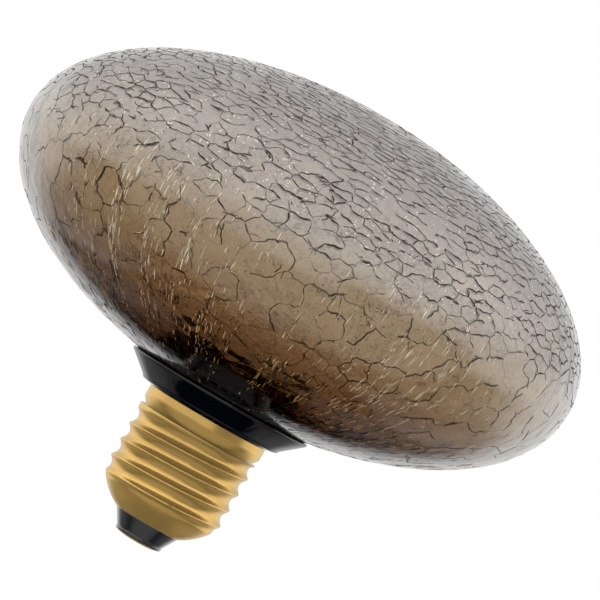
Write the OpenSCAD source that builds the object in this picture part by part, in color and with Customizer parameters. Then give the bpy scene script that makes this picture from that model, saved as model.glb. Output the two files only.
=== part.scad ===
// Decorative LED lamp: a wide blown-glass spheroid with a crackle finish on a
// black collar and a brass screw cap. +Z runs from the cap to the top of the
// glass, and the origin is the tip of the centre contact. Millimetres.

/* [Glass envelope] */
// Widest diameter of the blown glass
glass_d = 124; // [104:1:150]
// Height of the whole spheroid, pole to pole
glass_h = 66; // [55:1:80]
// Thickness of the glass wall
glass_wall = 1.6; // [1.2:0.1:2]
// Width of the flat ground round the mouth, where the glass stands
foot_w = 2.1; // [1.6:0.1:3]
// Radial room between the mouth of the glass and the bezel
mouth_gap = 1.8; // [1:0.1:3]

/* [Collar] */
// Height of the collar above the cap
collar_h = 5.1; // [4.5:0.1:8]
// Width of the shoulder that stands out over the cap's skirt
shoulder_w = 2.5; // [2:0.1:3.5]
// Height of the rim above the floor that the glass is bonded to
rim_depth = 0.7; // [0.5:0.1:1]
// Width of the rim
rim_w = 0.65; // [0.5:0.05:0.9]
// Gap between the rim and the foot of the glass
foot_gap = 0.25; // [0.15:0.05:0.6]
// Wall of the neck inside the cap
neck_wall = 1.25; // [1:0.05:1.5]
// Thickness of the bonding silicone under the glass
sealant_t = 0.8; // [0.6:0.1:1.2]

/* [Light engine] */
// Outer diameter of the black bezel inside the glass
bezel_d = 30.4; // [29:0.1:37]
// Height of the bezel above the collar's floor
bezel_h = 8.8; // [8:0.1:12]
// Wall of the bezel
bezel_wall = 1.3; // [1.2:0.05:1.4]
// Thickness of the bezel's top lip
bezel_lip_t = 1; // [0.8:0.1:1.4]
// Overlap of the bezel's lip on the lens
bezel_lip_w = 1.6; // [1.2:0.1:2]
// Thickness of the heat sink's plate
sink_plate_t = 2.5; // [2:0.1:3]
// Wall of the heat sink
sink_wall = 1.2; // [1:0.1:1.5]
// Thickness of the round board under the diodes
led_board_t = 1; // [0.8:0.1:1.6]
// Number of diodes on their ring
led_count = 8; // [4:2:8]
// Radius of the ring of diodes
led_ring_r = 9.3; // [9:0.1:9.8]
// Thickness of a diode
led_t = 0.7; // [0.5:0.1:0.9]
// Gap between the diodes and the lens
led_gap = 0.5; // [0.4:0.1:1]
// Thickness of the lens at its flange
lens_t = 1; // [0.8:0.1:1.5]
// Rise of the lens above its flange
lens_rise = 1.6; // [1:0.1:2.5]

/* [Screw cap] */
// Diameter over the crests of the thread
crest_d = 26.3; // [25.8:0.05:32]
// Depth of the thread
thread_depth = 0.95; // [0.8:0.05:1.1]
// Pitch of the thread, seven turns to the inch
pitch = 3.629; // [3:0.001:4]
// Narrowness of the crests, 1 being a plain wave
crest_power = 1.5; // [1:0.1:2.5]
// How far the smooth skirt stands out past the crests
skirt_proud = 0.05; // [0:0.05:0.2]
// Height of the smooth skirt
skirt_h = 3.8; // [3:0.1:6]
// Height of the cap's brass shell
shell_h = 24.4; // [22:0.1:28]
// Thickness of the brass sheet
shell_wall = 0.3; // [0.25:0.05:0.35]
// Diameter of the shell's lower opening
shell_foot_d = 14.2; // [12:0.1:15]
// Slope of the shell where it leaves the insulator, in degrees
shell_foot_angle = 27; // [24:1:30]
// Slope of the shell where its curved foot meets the thread, in degrees
shell_end_angle = 55; // [50:1:65]

/* [Contact and insulator] */
// Height of the insulator that shows below the shell
insulator_h = 3.9; // [3.5:0.1:5]
// Diameter of the insulator at the contact
insulator_low_d = 10.3; // [9:0.1:12]
// Height of the insulator's straight lip
insulator_lip_h = 0.8; // [0.5:0.1:1.2]
// Width of the insulator's edge round the contact
contact_inset = 0.2; // [0.1:0.05:0.5]
// Height of the centre contact's dome
contact_h = 0.5; // [0.4:0.1:0.8]
// Diameter of the flat at the contact's tip
contact_flat_d = 5; // [4:0.5:6]
// Outer diameter of the contact's hollow rivet
rivet_d = 2.4; // [2:0.1:3]
// Bore of the contact's hollow rivet
rivet_bore_d = 1.4; // [1.2:0.1:1.6]

/* [Driver] */
// Height of the driver board
board_h = 17; // [16:0.5:19]
// Thickness of the driver board
board_t = 1; // [0.8:0.1:1.2]
// Diameter of the electrolytic capacitor
can_d = 7.8; // [6:0.1:8]
// Height of the electrolytic capacitor
can_h = 12; // [9:0.5:13]
// Diameter of the inductor's ferrite drum
drum_d = 6; // [5:0.1:6.2]
// Height of the inductor's ferrite drum
drum_h = 6; // [5:0.1:6.2]

/* [Wires] */
// Radius of a bare wire
bare_r = 0.3; // [0.2:0.05:0.35]
// Radius of an insulated wire
lead_r = 0.4; // [0.3:0.05:0.45]

/* [Fits] */
// Radial gap where one piece slides into another
slip = 0.1; // [0.05:0.01:0.15]
// Gap between moulded or cast faces that meet on a curve
bed = 0.05; // [0.03:0.01:0.08]
// Gap under a component on its board
stand_off = 0.1; // [0.05:0.05:0.3]

/* [Hidden] */
$fn = 96;

// Stack of heights along the axis, from the contact upwards
shell_z = contact_h + insulator_h;
collar_z = shell_z + shell_h;
rim_z = collar_z + collar_h;
floor_z = rim_z - rim_depth;
glass_z = floor_z + sealant_t;
skirt_z = collar_z - skirt_h;

// The spheroid: half axes, and the height of its centre over the ground foot
glass_a = glass_d / 2;
glass_b = glass_h / 2;
mouth_r = bezel_d / 2 + mouth_gap;
foot_r = mouth_r + foot_w;
glass_mid_z = glass_z + glass_b * sqrt(1 - pow(foot_r / glass_a, 2));
glass_step = 2.5;

// Collar: the recess that takes the bezel, and the ledge that the sink stands on
rim_in_r = foot_r + foot_gap;
rim_r = rim_in_r + rim_w;
ledge_z = floor_z - 2.2;
bezel_in_r = bezel_d / 2 - bezel_wall;
spigot_r = bezel_in_r + 0.5;
collar_recess_r = spigot_r + slip;
collar_curve_h = 1.05;
collar_under_h = 0.4;
collar_under_w = 0.75;
rim_edge_h = 0.5;

// Light engine, stacked down from the bezel's lip
bezel_top_z = floor_z + bezel_h;
lens_z = bezel_top_z - bezel_lip_t - lens_t - slip;
led_z = lens_z - led_gap - led_t;
led_board_z = led_z - led_board_t;
sink_plate_z = led_board_z - sink_plate_t;
sink_r = bezel_in_r - slip;
led_board_r = sink_r - sink_wall - slip;
led_board_hole_r = 3;
screw_ring_r = 6.2;
screw_r = 1;
screw_head_r = 1.8;
screw_head_t = 0.6;
led_w = 2.8;
led_l = 3.5;
led_rim = 0.35;

// Screw cap: the thread's wave rises from the root on a right-hand helix
crest_r = crest_d / 2;
root_r = crest_r - thread_depth;
skirt_r = crest_r + skirt_proud;
shell_curve_r = (root_r - shell_foot_d / 2) / (sin(shell_end_angle) - sin(shell_foot_angle));
foot_mid_r = shell_foot_d / 2 - shell_curve_r * sin(shell_foot_angle);
foot_mid_z = shell_z + shell_curve_r * cos(shell_foot_angle);
thread_z = foot_mid_z - shell_curve_r * cos(shell_end_angle);
insulator_end_angle = shell_end_angle - 6;
thread_band_h = 0.25;
thread_tuck = 0.05;
thread_fade_h = 1.4;
thread_crest_z = skirt_z - 6.8;
skirt_ramp_h = 1;
thread_turn_steps = 40;
thread_rise_steps = 42;

// Neck of the housing, inside the cap
neck_r = root_r - shell_wall - slip - bed;
neck_in_r = neck_r - neck_wall;
neck_z = thread_z + 1.2;
neck_skirt_r = skirt_r - shell_wall - bed;
wire_slot_w = 1;
wire_slot_depth = 0.75;
wire_slot_h = 6;

// Driver board, standing on edge between rails in the neck
board_w = 2 * (neck_in_r - slip - bed);
board_z = neck_z + 1.4;
rail_w = 1;
rail_depth = 0.9;
front_y = -board_t / 2;
back_y = board_t / 2;
pin_r = 0.3;

// Places of the components on the driver board: x, and height over its lower edge
can_x = -4.4;
can_up = 2;
drum_x = 3.9;
drum_up = 12;
drum_flange_t = 0.9;
drum_waist_r = 1.6;
film_x = -3.6;
film_up = 8.3;
film_size = [7, 3.5, 6];
bridge_x = -3.8;
bridge_up = 4;
bridge_size = [4.8, 1.6, 4];
chip_x = 3.6;
chip_up = 12;
chip_size = [5, 1.5, 4];
resistor_x = 5.6;
resistor_up = 2;
resistor_d = 2.4;
resistor_l = 6.4;

/* ---- Curves ---- */

// Points of an arc about (x, y), its angle counted from straight down
function arc(x, y, r, from, to, n) =
    [for (i = [0:n]) let (t = from + (to - from) * i / n) [x + r * sin(t), y - r * cos(t)]];

// Angle on a spheroid, from its lower pole, at which its radius is r
function angle_at(r, a) = asin(r / a);

// Meridian of the spheroid with half axes a and b, from one angle to another
function meridian(a, b, from, to) =
    let (n = ceil(abs(to - from) / glass_step))
    [for (i = [0:n]) let (t = from + (to - from) * i / n)
        [max(0, a * sin(t)), glass_mid_z - b * cos(t)]];

// The same from an angle near the mouth to the upper pole, through the equator
function dome(a, b, from) = concat(meridian(a, b, from, 90), meridian(a, b, 90 + glass_step, 180));
function reverse(p) = [for (i = [len(p) - 1:-1:0]) p[i]];

function smoothstep(t) = let (u = min(1, max(0, t))) u * u * (3 - 2 * u);

// Catmull-Rom curve through a wire's points, with n steps between neighbours
function spline_at(a, b, c, d, t) =
    0.5 * (2 * b + (c - a) * t + (2 * a - 5 * b + 4 * c - d) * t * t
    + (3 * b - a - 3 * c + d) * t * t * t);
function spline(p, n = 3) = concat(
    [for (i = [0:len(p) - 2]) for (k = [0:n - 1])
        spline_at(p[max(0, i - 1)], p[i], p[i + 1], p[min(len(p) - 1, i + 2)], k / n)],
    [p[len(p) - 1]]);

function unit(v) = v / norm(v);
function heading(p, i) = unit(p[min(len(p) - 1, i + 1)] - p[max(0, i - 1)]);

// Round wire along a route; flat is a direction that the route never takes
module wire(route, r, flat = [0, 1, 0], sides = 8) {
    p = spline(route);
    last = len(p) - 1;
    rings = [for (i = [0:last])
        let (t = heading(p, i), u = unit(cross(t, flat)), v = cross(t, u))
        for (k = [0:sides - 1])
            p[i] + r * (cos(360 * k / sides) * u + sin(360 * k / sides) * v)];
    walls = [for (i = [0:last - 1]) for (k = [0:sides - 1])
        let (a = i * sides + k, b = i * sides + (k + 1) % sides)
        [a, a + sides, b + sides, b]];
    ends = [[for (k = [0:sides - 1]) k], [for (k = [sides - 1:-1:0]) last * sides + k]];
    polyhedron(rings, concat(walls, ends), convexity = 4);
}

// Two pins through the driver board, spread by gap about (x, up)
module pins(x, up, gap, side) {
    for (s = [-1, 1])
        translate([x + s * gap / 2, side * (board_t / 2 + stand_off + bed), board_z + up])
            rotate([side * 90, 0, 0])
                cylinder(r = pin_r, h = board_t + stand_off + 2 * bed);
}

module pin_holes(x, up, gap) {
    for (s = [-1, 1])
        translate([x + s * gap / 2, board_t, board_z + up])
            rotate([90, 0, 0])
                cylinder(r = pin_r + bed, h = 2 * board_t);
}

/* ---- Glass ---- */

// Blown glass: a thin spheroid, open at the ground mouth
module glass_envelope() {
    in_a = glass_a - glass_wall;
    in_b = glass_b - glass_wall;
    color([0.36, 0.28, 0.2, 0.55])
        rotate_extrude($fn = 144)
            polygon(concat(
                dome(glass_a, glass_b, angle_at(foot_r, glass_a)),
                reverse(dome(in_a, in_b, angle_at(mouth_r, in_a))),
                [[mouth_r, glass_z]]));
}

// Cured silicone under the foot of the glass and inside its mouth
module envelope_sealant() {
    in_r = bezel_d / 2 + bed;
    lip_z = glass_z + glass_wall - 2 * bed;
    color([0.1, 0.09, 0.08])
        rotate_extrude()
            polygon([
                [in_r, floor_z], [foot_r, floor_z], [foot_r, glass_z],
                [mouth_r - bed, glass_z], [mouth_r - bed, lip_z - 0.4],
                [mouth_r - bed - 0.4, lip_z], [in_r, lip_z]]);
}

/* ---- Collar and light engine ---- */

// Black moulding: flared collar above the cap, neck with board rails inside it
module collar_housing() {
    low_r = skirt_r + shoulder_w;
    curve_z = collar_z + collar_curve_h;
    color([0.03, 0.03, 0.03]) {
        difference() {
            rotate_extrude()
                polygon(concat(
                    [[neck_in_r, neck_z], [neck_r, neck_z], [neck_r, skirt_z + skirt_ramp_h],
                    [neck_skirt_r, skirt_z + skirt_ramp_h + 0.5], [neck_skirt_r, collar_z],
                    [skirt_r, collar_z], [low_r - collar_under_w, collar_z + collar_under_h]],
                    [for (t = [30:20:70])
                        [low_r - collar_under_w * (1 - sin(t)),
                        curve_z - (collar_curve_h - collar_under_h) * cos(t)]],
                    [[low_r + 0.08, curve_z], [rim_r, rim_z - rim_edge_h],
                    [rim_r, rim_z - 0.1], [rim_r - 0.1, rim_z],
                    [rim_in_r, rim_z], [rim_in_r, floor_z],
                    [collar_recess_r, floor_z], [collar_recess_r, ledge_z],
                    [neck_in_r, ledge_z]]));
            // groove for the neutral wire, pinched between neck and shell
            translate([-neck_r - 1, -wire_slot_w / 2, neck_z - 1])
                cube([1 + wire_slot_depth, wire_slot_w, wire_slot_h + 1]);
        }
        for (x = [-1, 1])
            for (y = [-1, 1])
                rail(x, y);
    }
}

// One of the rails that hold an edge of the driver board
module rail(x, y) {
    low_y = board_t / 2 + slip;
    out_x = sqrt(pow(neck_in_r, 2) - pow(low_y, 2)) + 0.3;
    in_x = neck_in_r - rail_depth - slip;
    mirror([x < 0 ? 1 : 0, 0, 0])
        mirror([0, y < 0 ? 1 : 0, 0])
            intersection() {
                translate([in_x, low_y, board_z])
                    cube([out_x - in_x, rail_w, board_h]);
                cylinder(r = neck_r - bed, h = rim_z);
            }
}

// Black ring that hides the heat sink and holds the lens down
module led_bezel() {
    out_r = bezel_d / 2;
    lip_r = bezel_in_r - bezel_lip_w;
    lip_z = bezel_top_z - bezel_lip_t;
    round_r = 0.6;
    color([0.04, 0.04, 0.04])
        rotate_extrude()
            polygon(concat(
                [[bezel_in_r, ledge_z + bed], [spigot_r, ledge_z + bed], [spigot_r, floor_z],
                [out_r, floor_z], [out_r, bezel_top_z - round_r]],
                [for (t = [15:15:90])
                    [out_r - round_r * (1 - cos(t)), bezel_top_z - round_r * (1 - sin(t))]],
                [[lip_r, bezel_top_z], [lip_r, lip_z], [bezel_in_r, lip_z]]));
}

// Clear moulded lens with a low dome, clamped by its flange
module led_lens() {
    lip_r = bezel_in_r - bezel_lip_w - slip;
    flange_z = lens_z + lens_t;
    color([0.9, 0.88, 0.82, 0.5])
        rotate_extrude()
            polygon(concat(
                [[0, lens_z], [sink_r - slip, lens_z], [sink_r - slip, flange_z],
                [lip_r, flange_z]],
                [for (i = [1:9])
                    [lip_r * cos(10 * i), flange_z + lens_rise * sin(10 * i)]]));
}

// Turned aluminium cup: the board lies in its recess, the lens on its rim
module heat_sink() {
    color([0.75, 0.76, 0.78])
        difference() {
            rotate_extrude()
                polygon([
                    [led_board_hole_r, sink_plate_z], [sink_r - sink_wall, sink_plate_z],
                    [sink_r - sink_wall, ledge_z], [sink_r, ledge_z], [sink_r, lens_z],
                    [sink_r - sink_wall, lens_z], [sink_r - sink_wall, led_board_z],
                    [led_board_hole_r, led_board_z]]);
            for (s = [-1, 1])
                translate([0, s * screw_ring_r, sink_plate_z - 1])
                    cylinder(r = screw_r + bed, h = sink_plate_t + 2);
        }
}

// Round metal-core board that carries the diodes
module led_board() {
    color([0.92, 0.92, 0.9])
        translate([0, 0, led_board_z])
            difference() {
                cylinder(r = led_board_r, h = led_board_t);
                translate([0, 0, -1])
                    cylinder(r = led_board_hole_r, h = led_board_t + 2);
                for (s = [-1, 1])
                    translate([0, s * screw_ring_r, -1])
                        cylinder(r = screw_r + slip, h = led_board_t + 2);
            }
}

// Places its child at every diode, clear of the screws
module at_leds() {
    for (i = [0:led_count - 1])
        rotate([0, 0, 360 * (i + 0.5) / led_count])
            translate([led_ring_r, 0, led_z])
                children();
}

// White diode packages with a shallow well
module leds() {
    color([0.95, 0.94, 0.9])
        at_leds()
            difference() {
                translate([-led_w / 2, -led_l / 2, 0])
                    cube([led_w, led_l, led_t]);
                translate([led_rim - led_w / 2, led_rim - led_l / 2, led_t / 2])
                    cube([led_w - 2 * led_rim, led_l - 2 * led_rim, led_t]);
            }
}

// Amber phosphor that fills each well
module led_phosphor() {
    in = led_rim + bed;
    color([0.95, 0.62, 0.15])
        at_leds()
            translate([in - led_w / 2, in - led_l / 2, led_t / 2])
                cube([led_w - 2 * in, led_l - 2 * in, led_t / 2 - bed]);
}

// Two pan-head screws through the board into the heat sink
module board_screws() {
    color([0.7, 0.7, 0.72])
        for (s = [-1, 1])
            translate([0, s * screw_ring_r, led_z])
                difference() {
                    union() {
                        translate([0, 0, -led_board_t - sink_plate_t])
                            cylinder(r = screw_r, h = led_board_t + sink_plate_t + 0.1);
                        cylinder(r1 = screw_head_r, r2 = screw_head_r - 0.2, h = screw_head_t);
                    }
                    for (a = [0, 90])
                        rotate([0, 0, a])
                            translate([-screw_r, -0.2, screw_head_t / 2])
                                cube([2 * screw_r, 0.4, screw_head_t]);
                }
}

/* ---- Driver ---- */

// Glass-epoxy board, standing on edge in the neck
module driver_board() {
    color([0.1, 0.35, 0.18])
        difference() {
            translate([-board_w / 2, front_y, board_z])
                cube([board_w, board_t, board_h]);
            pin_holes(can_x, can_up + can_h + 1, 2.5);
            pin_holes(film_x, film_up + film_size[2] / 2, 5);
            pin_holes(drum_x, drum_up, 3.5);
        }
}

// Sleeved aluminium can lying along the board, its leads bent over into it
module electrolytic_capacitor() {
    r = can_d / 2;
    mid_y = front_y - stand_off - r;
    top_z = board_z + can_up + can_h;
    color([0.08, 0.09, 0.14]) {
        translate([can_x, mid_y, board_z + can_up])
            rotate_extrude()
                polygon([
                    [0, 0], [r - 0.5, 0], [r - 0.15, 0.15], [r, 0.5], [r, can_h - 1.6],
                    [r - 0.4, can_h - 1.3], [r, can_h - 1], [r, can_h], [0, can_h]]);
        for (s = [-1, 1])
            wire([[can_x + s * 1.25, mid_y, top_z - 0.4], [can_x + s * 1.25, mid_y, top_z + 0.4],
                [can_x + s * 1.25, mid_y + 0.8, top_z + 1],
                [can_x + s * 1.25, back_y + bed, top_z + 1]],
                pin_r, [1, 0, 0]);
    }
}

// Dipped film capacitor, standing off the back of the board on its pins
module film_capacitor() {
    low = [film_x - film_size[0] / 2, back_y + stand_off, board_z + film_up];
    round_r = 0.8;
    color([0.7, 0.35, 0.1]) {
        translate([low[0] + round_r, low[1], low[2]])
            cube([film_size[0] - 2 * round_r, film_size[1], film_size[2]]);
        translate([low[0], low[1], low[2] + round_r])
            cube([film_size[0], film_size[1], film_size[2] - 2 * round_r]);
        for (x = [round_r, film_size[0] - round_r])
            for (z = [round_r, film_size[2] - round_r])
                translate([low[0] + x, low[1], low[2] + z])
                    rotate([-90, 0, 0])
                        cylinder(r = round_r, h = film_size[1]);
        pins(film_x, film_up + film_size[2] / 2, 5, 1);
    }
}

// Places its children on the axis of the inductor, running out of the board
module at_drum() {
    translate([drum_x, front_y - stand_off, board_z + drum_up])
        rotate([90, 0, 0])
            children();
}

// Ferrite drum with its two pins
module inductor_core() {
    r = drum_d / 2;
    color([0.15, 0.15, 0.16]) {
        at_drum()
            rotate_extrude()
                polygon([
                    [0, 0], [r, 0], [r, drum_flange_t], [drum_waist_r, drum_flange_t],
                    [drum_waist_r, drum_h - drum_flange_t], [r, drum_h - drum_flange_t],
                    [r, drum_h], [0, drum_h]]);
        pins(drum_x, drum_up, 3.5, -1);
    }
}

// Enamelled copper wound on the drum
module inductor_winding() {
    color([0.72, 0.4, 0.16])
        at_drum()
            rotate_extrude()
                polygon([
                    [drum_waist_r + bed, drum_flange_t + bed],
                    [drum_d / 2 - 0.3, drum_flange_t + bed],
                    [drum_d / 2 - 0.3, drum_h - drum_flange_t - bed],
                    [drum_waist_r + bed, drum_h - drum_flange_t - bed]]);
}

// Moulded package on the back of the board, with a row of legs at each side
module package(x, up, size, legs) {
    low_y = back_y + stand_off;
    color([0.07, 0.07, 0.07])
        translate([x - size[0] / 2, low_y, board_z + up])
            cube(size);
    color([0.8, 0.8, 0.8])
        for (s = [-1, 1])
            for (i = [0:legs - 1])
                translate([
                    x + s * (size[0] / 2 + 0.35) - 0.4, back_y,
                    board_z + up + size[2] * (i + 0.5) / legs - 0.2])
                    cube([0.8, stand_off + 0.3, 0.4]);
}

module bridge_rectifier() {
    package(bridge_x, bridge_up, bridge_size, 2);
}

module driver_chip() {
    package(chip_x, chip_up - chip_size[2] / 2, chip_size, 4);
}

// Sleeved fusible resistor, upright on the back of the board
module fusible_resistor() {
    mid_y = back_y + stand_off + resistor_d / 2;
    low_z = board_z + resistor_up;
    color([0.2, 0.45, 0.3])
        translate([resistor_x, mid_y, low_z])
            rotate_extrude()
                polygon([
                    [0, 0], [0.8, 0], [resistor_d / 2, 0.4], [resistor_d / 2, resistor_l - 0.4],
                    [0.8, resistor_l], [0, resistor_l]]);
    color([0.8, 0.8, 0.8])
        for (end = [[low_z, -1], [low_z + resistor_l, 1]])
            wire([[resistor_x, mid_y, end[0] - end[1] * 0.3],
                [resistor_x, mid_y, end[0] + end[1] * 0.3],
                [resistor_x, mid_y - 0.5, end[0] + end[1] * 0.8],
                [resistor_x, back_y + bed, end[0] + end[1] * 0.8]],
                pin_r, [1, 0, 0]);
}

/* ---- Wires: x, y and z of each bend ---- */

wire_y = back_y + bare_r + 0.1;
slot_x = -(neck_r - bare_r - bed);
live_route = [
    [0, 0, contact_h + 0.5], [0, 0, neck_z - 5], [0, 0, neck_z - 0.8],
    [0.8, wire_y, neck_z + 0.2], [2.6, wire_y + 0.2, board_z + 0.6], [4.1, wire_y, board_z + 1.4]];
neutral_route = [
    [-7.6, wire_y, board_z + 2.5], [-7.8, wire_y, board_z + 0.5], [-8.8, 0.6, neck_z - 0.2],
    [slot_x + 1.2, 0.2, neck_z - 1.1], [slot_x, 0, neck_z - 0.4], [slot_x, 0, neck_z + 2],
    [slot_x, 0, neck_z + 5]];
lead_y = back_y + lead_r + 0.1;
led_route = [
    [2, lead_y, board_z + board_h - 1.8], [2, lead_y, board_z + board_h],
    [2, lead_y / 2, board_z + board_h + 3], [1.8, 0, sink_plate_z], [1.8, 0, led_z],
    [2.5, 0, led_z + lead_r + 0.1], [4, 0, led_z + lead_r + 0.1]];

// Bare wire from the contact's rivet to the board
module live_wire() {
    color([0.75, 0.5, 0.3])
        wire(live_route, bare_r, [0.3, -1, 0]);
}

// Bare wire from the board, round the neck's lower edge to the shell
module neutral_wire() {
    color([0.75, 0.5, 0.3])
        wire(neutral_route, bare_r);
}

// Insulated leads from the driver board up to the diode board
module led_wire(side) {
    wire([for (p = led_route) [side * p[0], p[1], p[2]]], lead_r);
}

module led_wire_positive() {
    color([0.65, 0.08, 0.06])
        led_wire(1);
}

module led_wire_negative() {
    color([0.06, 0.06, 0.06])
        led_wire(-1);
}

/* ---- Screw cap ---- */

// Height of the thread's wave, 0 at the root and 1 at the crest
function wave(turn, z) =
    pow((1 + cos(360 * (z - thread_crest_z - pitch * turn) / pitch)) / 2, crest_power)
    * smoothstep((z - thread_z) / thread_fade_h);

// Outer radius of the threaded sheet
function thread_r(turn, z) = max(
    root_r + (crest_r - root_r) * wave(turn, z),
    root_r + (skirt_r - root_r) * smoothstep((z - skirt_z + skirt_ramp_h) / skirt_ramp_h));

// Rolled thread, tucked into the plain bands above and below it
module threaded_sheet() {
    low_z = thread_z + thread_band_h / 2;
    high_z = skirt_z + thread_band_h / 2;
    n = thread_turn_steps;
    m = thread_rise_steps;
    levels = [for (j = [0:m]) low_z + (high_z - low_z) * j / m];
    function tuck(j) = (j == 0 || j == m) ? thread_tuck : 0;
    function ring(j, inset, sign) = [for (i = [0:n - 1])
        let (r = thread_r(i / n, levels[j]) - inset - sign * tuck(j))
        [r * cos(360 * i / n), r * sin(360 * i / n), levels[j]]];
    outside = [for (j = [0:m]) each ring(j, 0, 1)];
    inside = [for (j = [0:m]) each ring(j, shell_wall, -1)];
    size = n * (m + 1);
    faces = [for (i = [0:n - 1]) let (k = (i + 1) % n) each concat(
        [for (j = [0:m - 1]) each [
            [i + j * n, i + (j + 1) * n, k + j * n],
            [k + j * n, i + (j + 1) * n, k + (j + 1) * n],
            [size + i + j * n, size + k + j * n, size + i + (j + 1) * n],
            [size + k + j * n, size + k + (j + 1) * n, size + i + (j + 1) * n]]],
        [[i, k, size + k], [i, size + k, size + i],
        [m * n + i, size + m * n + i, size + m * n + k],
        [m * n + i, size + m * n + k, m * n + k]])];
    polyhedron(concat(outside, inside), faces, convexity = 10);
}

// Brass shell: curved foot, rolled thread and smooth skirt
module cap_shell() {
    in_curve_r = shell_curve_r - shell_wall;
    color([0.8, 0.66, 0.36]) {
        rotate_extrude()
            polygon(concat(
                arc(foot_mid_r, foot_mid_z, shell_curve_r, shell_foot_angle, shell_end_angle, 8),
                [[root_r, thread_z + thread_band_h], [root_r - shell_wall, thread_z + thread_band_h],
                [root_r - shell_wall, thread_z + 0.1]],
                arc(foot_mid_r, foot_mid_z, in_curve_r, shell_end_angle - 2, shell_foot_angle, 8)));
        threaded_sheet();
        rotate_extrude()
            polygon([
                [skirt_r - shell_wall, skirt_z], [skirt_r, skirt_z], [skirt_r, collar_z],
                [skirt_r - shell_wall, collar_z]]);
    }
}

// Black glass cast into the foot of the shell round the rivet
module cap_insulator() {
    in_curve_r = shell_curve_r - shell_wall - bed;
    top_z = foot_mid_z - in_curve_r * cos(insulator_end_angle);
    low_r = insulator_low_d / 2;
    hole_r = rivet_d / 2 + bed;
    color([0.05, 0.05, 0.06])
        rotate_extrude()
            polygon(concat(
                [[hole_r, contact_h], [low_r - 0.15, contact_h], [low_r, contact_h + 0.15],
                [low_r, contact_h + insulator_lip_h], [shell_foot_d / 2 - slip, shell_z - bed]],
                arc(foot_mid_r, foot_mid_z, in_curve_r, shell_foot_angle, insulator_end_angle, 8),
                [[hole_r + 1.5, top_z], [hole_r, top_z - 0.6]]));
}

// Domed brass contact with a hollow rivet for the live wire
module centre_contact() {
    flat_r = contact_flat_d / 2;
    contact_r = insulator_low_d / 2 - contact_inset;
    rivet_top_z = foot_mid_z - shell_curve_r * cos(insulator_end_angle) + 0.8;
    color([0.8, 0.66, 0.36])
        rotate_extrude()
            polygon(concat(
                [[0, 0]],
                [for (i = [0:6])
                    [flat_r + (contact_r - flat_r) * i / 6, contact_h * pow(i / 6, 2)]],
                [[rivet_d / 2, contact_h], [rivet_d / 2, rivet_top_z],
                [rivet_bore_d / 2, rivet_top_z], [rivet_bore_d / 2, contact_h], [0, contact_h]]));
}

glass_envelope();
envelope_sealant();
collar_housing();
led_bezel();
led_lens();
heat_sink();
led_board();
leds();
led_phosphor();
board_screws();
driver_board();
electrolytic_capacitor();
film_capacitor();
inductor_core();
inductor_winding();
bridge_rectifier();
driver_chip();
fusible_resistor();
live_wire();
neutral_wire();
led_wire_positive();
led_wire_negative();
cap_shell();
cap_insulator();
centre_contact();
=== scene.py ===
# %% [markdown]
# # A crackle-glass lamp
# The lamp is a wide, flat balloon of smoke-brown glass on a black collar with
# a brass screw cap. Its construction comes as a fixed frame of solids, and
# this script gives every piece its finish and remakes the ones whose detail
# is too fine for the frame: the cracked glass, the rolled brass and the
# moulded edges. All sizes are in metres.

# %% Load the frame
import math

import bmesh
import bpy
import numpy as np
from mathutils import Matrix, Vector


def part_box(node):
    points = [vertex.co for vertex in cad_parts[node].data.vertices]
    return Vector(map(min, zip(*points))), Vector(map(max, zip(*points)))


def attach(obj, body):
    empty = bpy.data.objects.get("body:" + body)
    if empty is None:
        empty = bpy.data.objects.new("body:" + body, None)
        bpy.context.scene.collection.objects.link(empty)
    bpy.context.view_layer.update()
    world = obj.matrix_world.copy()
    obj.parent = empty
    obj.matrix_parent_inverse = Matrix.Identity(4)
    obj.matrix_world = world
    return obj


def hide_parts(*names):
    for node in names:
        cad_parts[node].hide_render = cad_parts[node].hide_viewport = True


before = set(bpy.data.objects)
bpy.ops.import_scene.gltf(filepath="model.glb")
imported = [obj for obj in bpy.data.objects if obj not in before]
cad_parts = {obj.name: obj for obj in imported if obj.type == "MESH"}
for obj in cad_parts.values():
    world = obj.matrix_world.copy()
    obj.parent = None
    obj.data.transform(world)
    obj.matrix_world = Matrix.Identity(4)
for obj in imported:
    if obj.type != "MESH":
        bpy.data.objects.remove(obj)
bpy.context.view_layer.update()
MM = 0.001
rng = np.random.default_rng(7)
print("frame pieces:", sorted(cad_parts))

# %% [markdown]
# ## Measures
# Everything that is remade sits where its solid sits, so the few sizes that
# matter are read from the boxes of the solids. The glass is a spheroid, and
# its two half axes and its middle height follow from its box, because its
# widest ring is as far below the top as the short half axis.

# %% Measures read from the frame
glass_low, glass_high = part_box("glass_envelope")
shell_low, shell_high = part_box("cap_shell")

GLASS_A = glass_high.x
FOOT_R = 19.1 * MM
MOUTH_R = 17 * MM
WALL = 1.6 * MM
FOOT_Z = glass_low.z


def half_height(top, foot_z, foot_r, a):
    """Short half axis of a spheroid that ends at top and is cut at foot_z where its radius is foot_r."""
    return (top - foot_z) / (1 + math.sqrt(1 - (foot_r / a) ** 2))


GLASS_B = half_height(glass_high.z, FOOT_Z, FOOT_R, GLASS_A)
GLASS_Z = glass_high.z - GLASS_B
print("glass: half axes", round(GLASS_A / MM, 2), round(GLASS_B / MM, 2), "mm")
print("glass: middle at", round(GLASS_Z / MM, 2), "mm")

# %% [markdown]
# ## A small kit for shaders
# A shader is a graph, and a graph is easier to read as an expression. `Link`
# wraps one socket and turns + - * / and ** into Math nodes, and `Finish`
# holds one material and adds any other node with a single method.


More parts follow.
